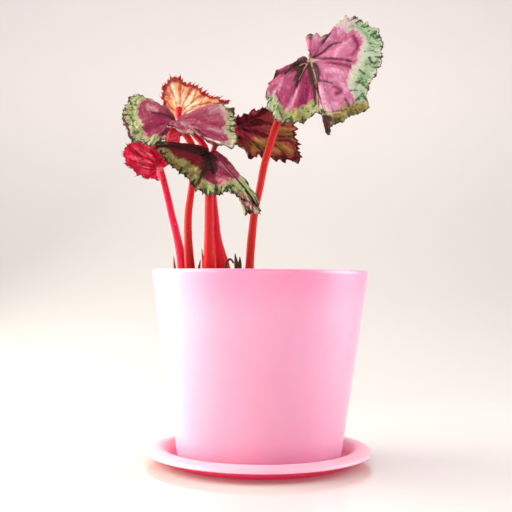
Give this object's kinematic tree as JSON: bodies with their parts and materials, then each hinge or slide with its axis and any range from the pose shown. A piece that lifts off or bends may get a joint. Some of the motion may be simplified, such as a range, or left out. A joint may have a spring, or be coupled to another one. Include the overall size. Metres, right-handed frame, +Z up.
{
  "type": "potted begonia",
  "caption": "Begonia with tooth-edged variegated leaves on red stalks, growing in soil in a plain tapered pink pot that stands on a round saucer.",
  "frame": {"origin": "the middle of the saucer's flat underside, where the pot's axis meets the surface that the object stands on", "axes": "+Z up along the pot's axis, -Y towards the side that the picture shows, +X to the right as seen from there"},
  "size_m": [0.1689, 0.145, 0.2893],
  "materials": {
    "saucer_plastic": "satin",
    "pot_plastic": "satin",
    "soil": "matte",
    "rhizome": "matte",
    "stalk": "satin",
    "leaf_mauve": "satin",
    "leaf_bronze": "satin",
    "leaf_crimson": "satin",
    "leaf_dark": "satin",
    "leaf_amber": "satin",
    "dried": "matte"
  },
  "bodies": {
    "root": {"saucer": "saucer_plastic", "pot": "pot_plastic", "soil": "soil", "rhizome": "rhizome", "stalk_upper_right": "stalk", "stalk_middle": "stalk", "stalk_lower_left": "stalk", "stalk_saddle": "stalk", "stalk_front": "stalk", "stalk_upright": "stalk", "leaf_upper_right": "leaf_mauve", "leaf_middle": "leaf_bronze", "leaf_lower_left": "leaf_crimson", "leaf_saddle": "leaf_mauve", "leaf_front": "leaf_dark", "leaf_upright": "leaf_amber", "dried_shoot": "dried", "dried_stalk": "dried"}
  },
  "joints": []
}
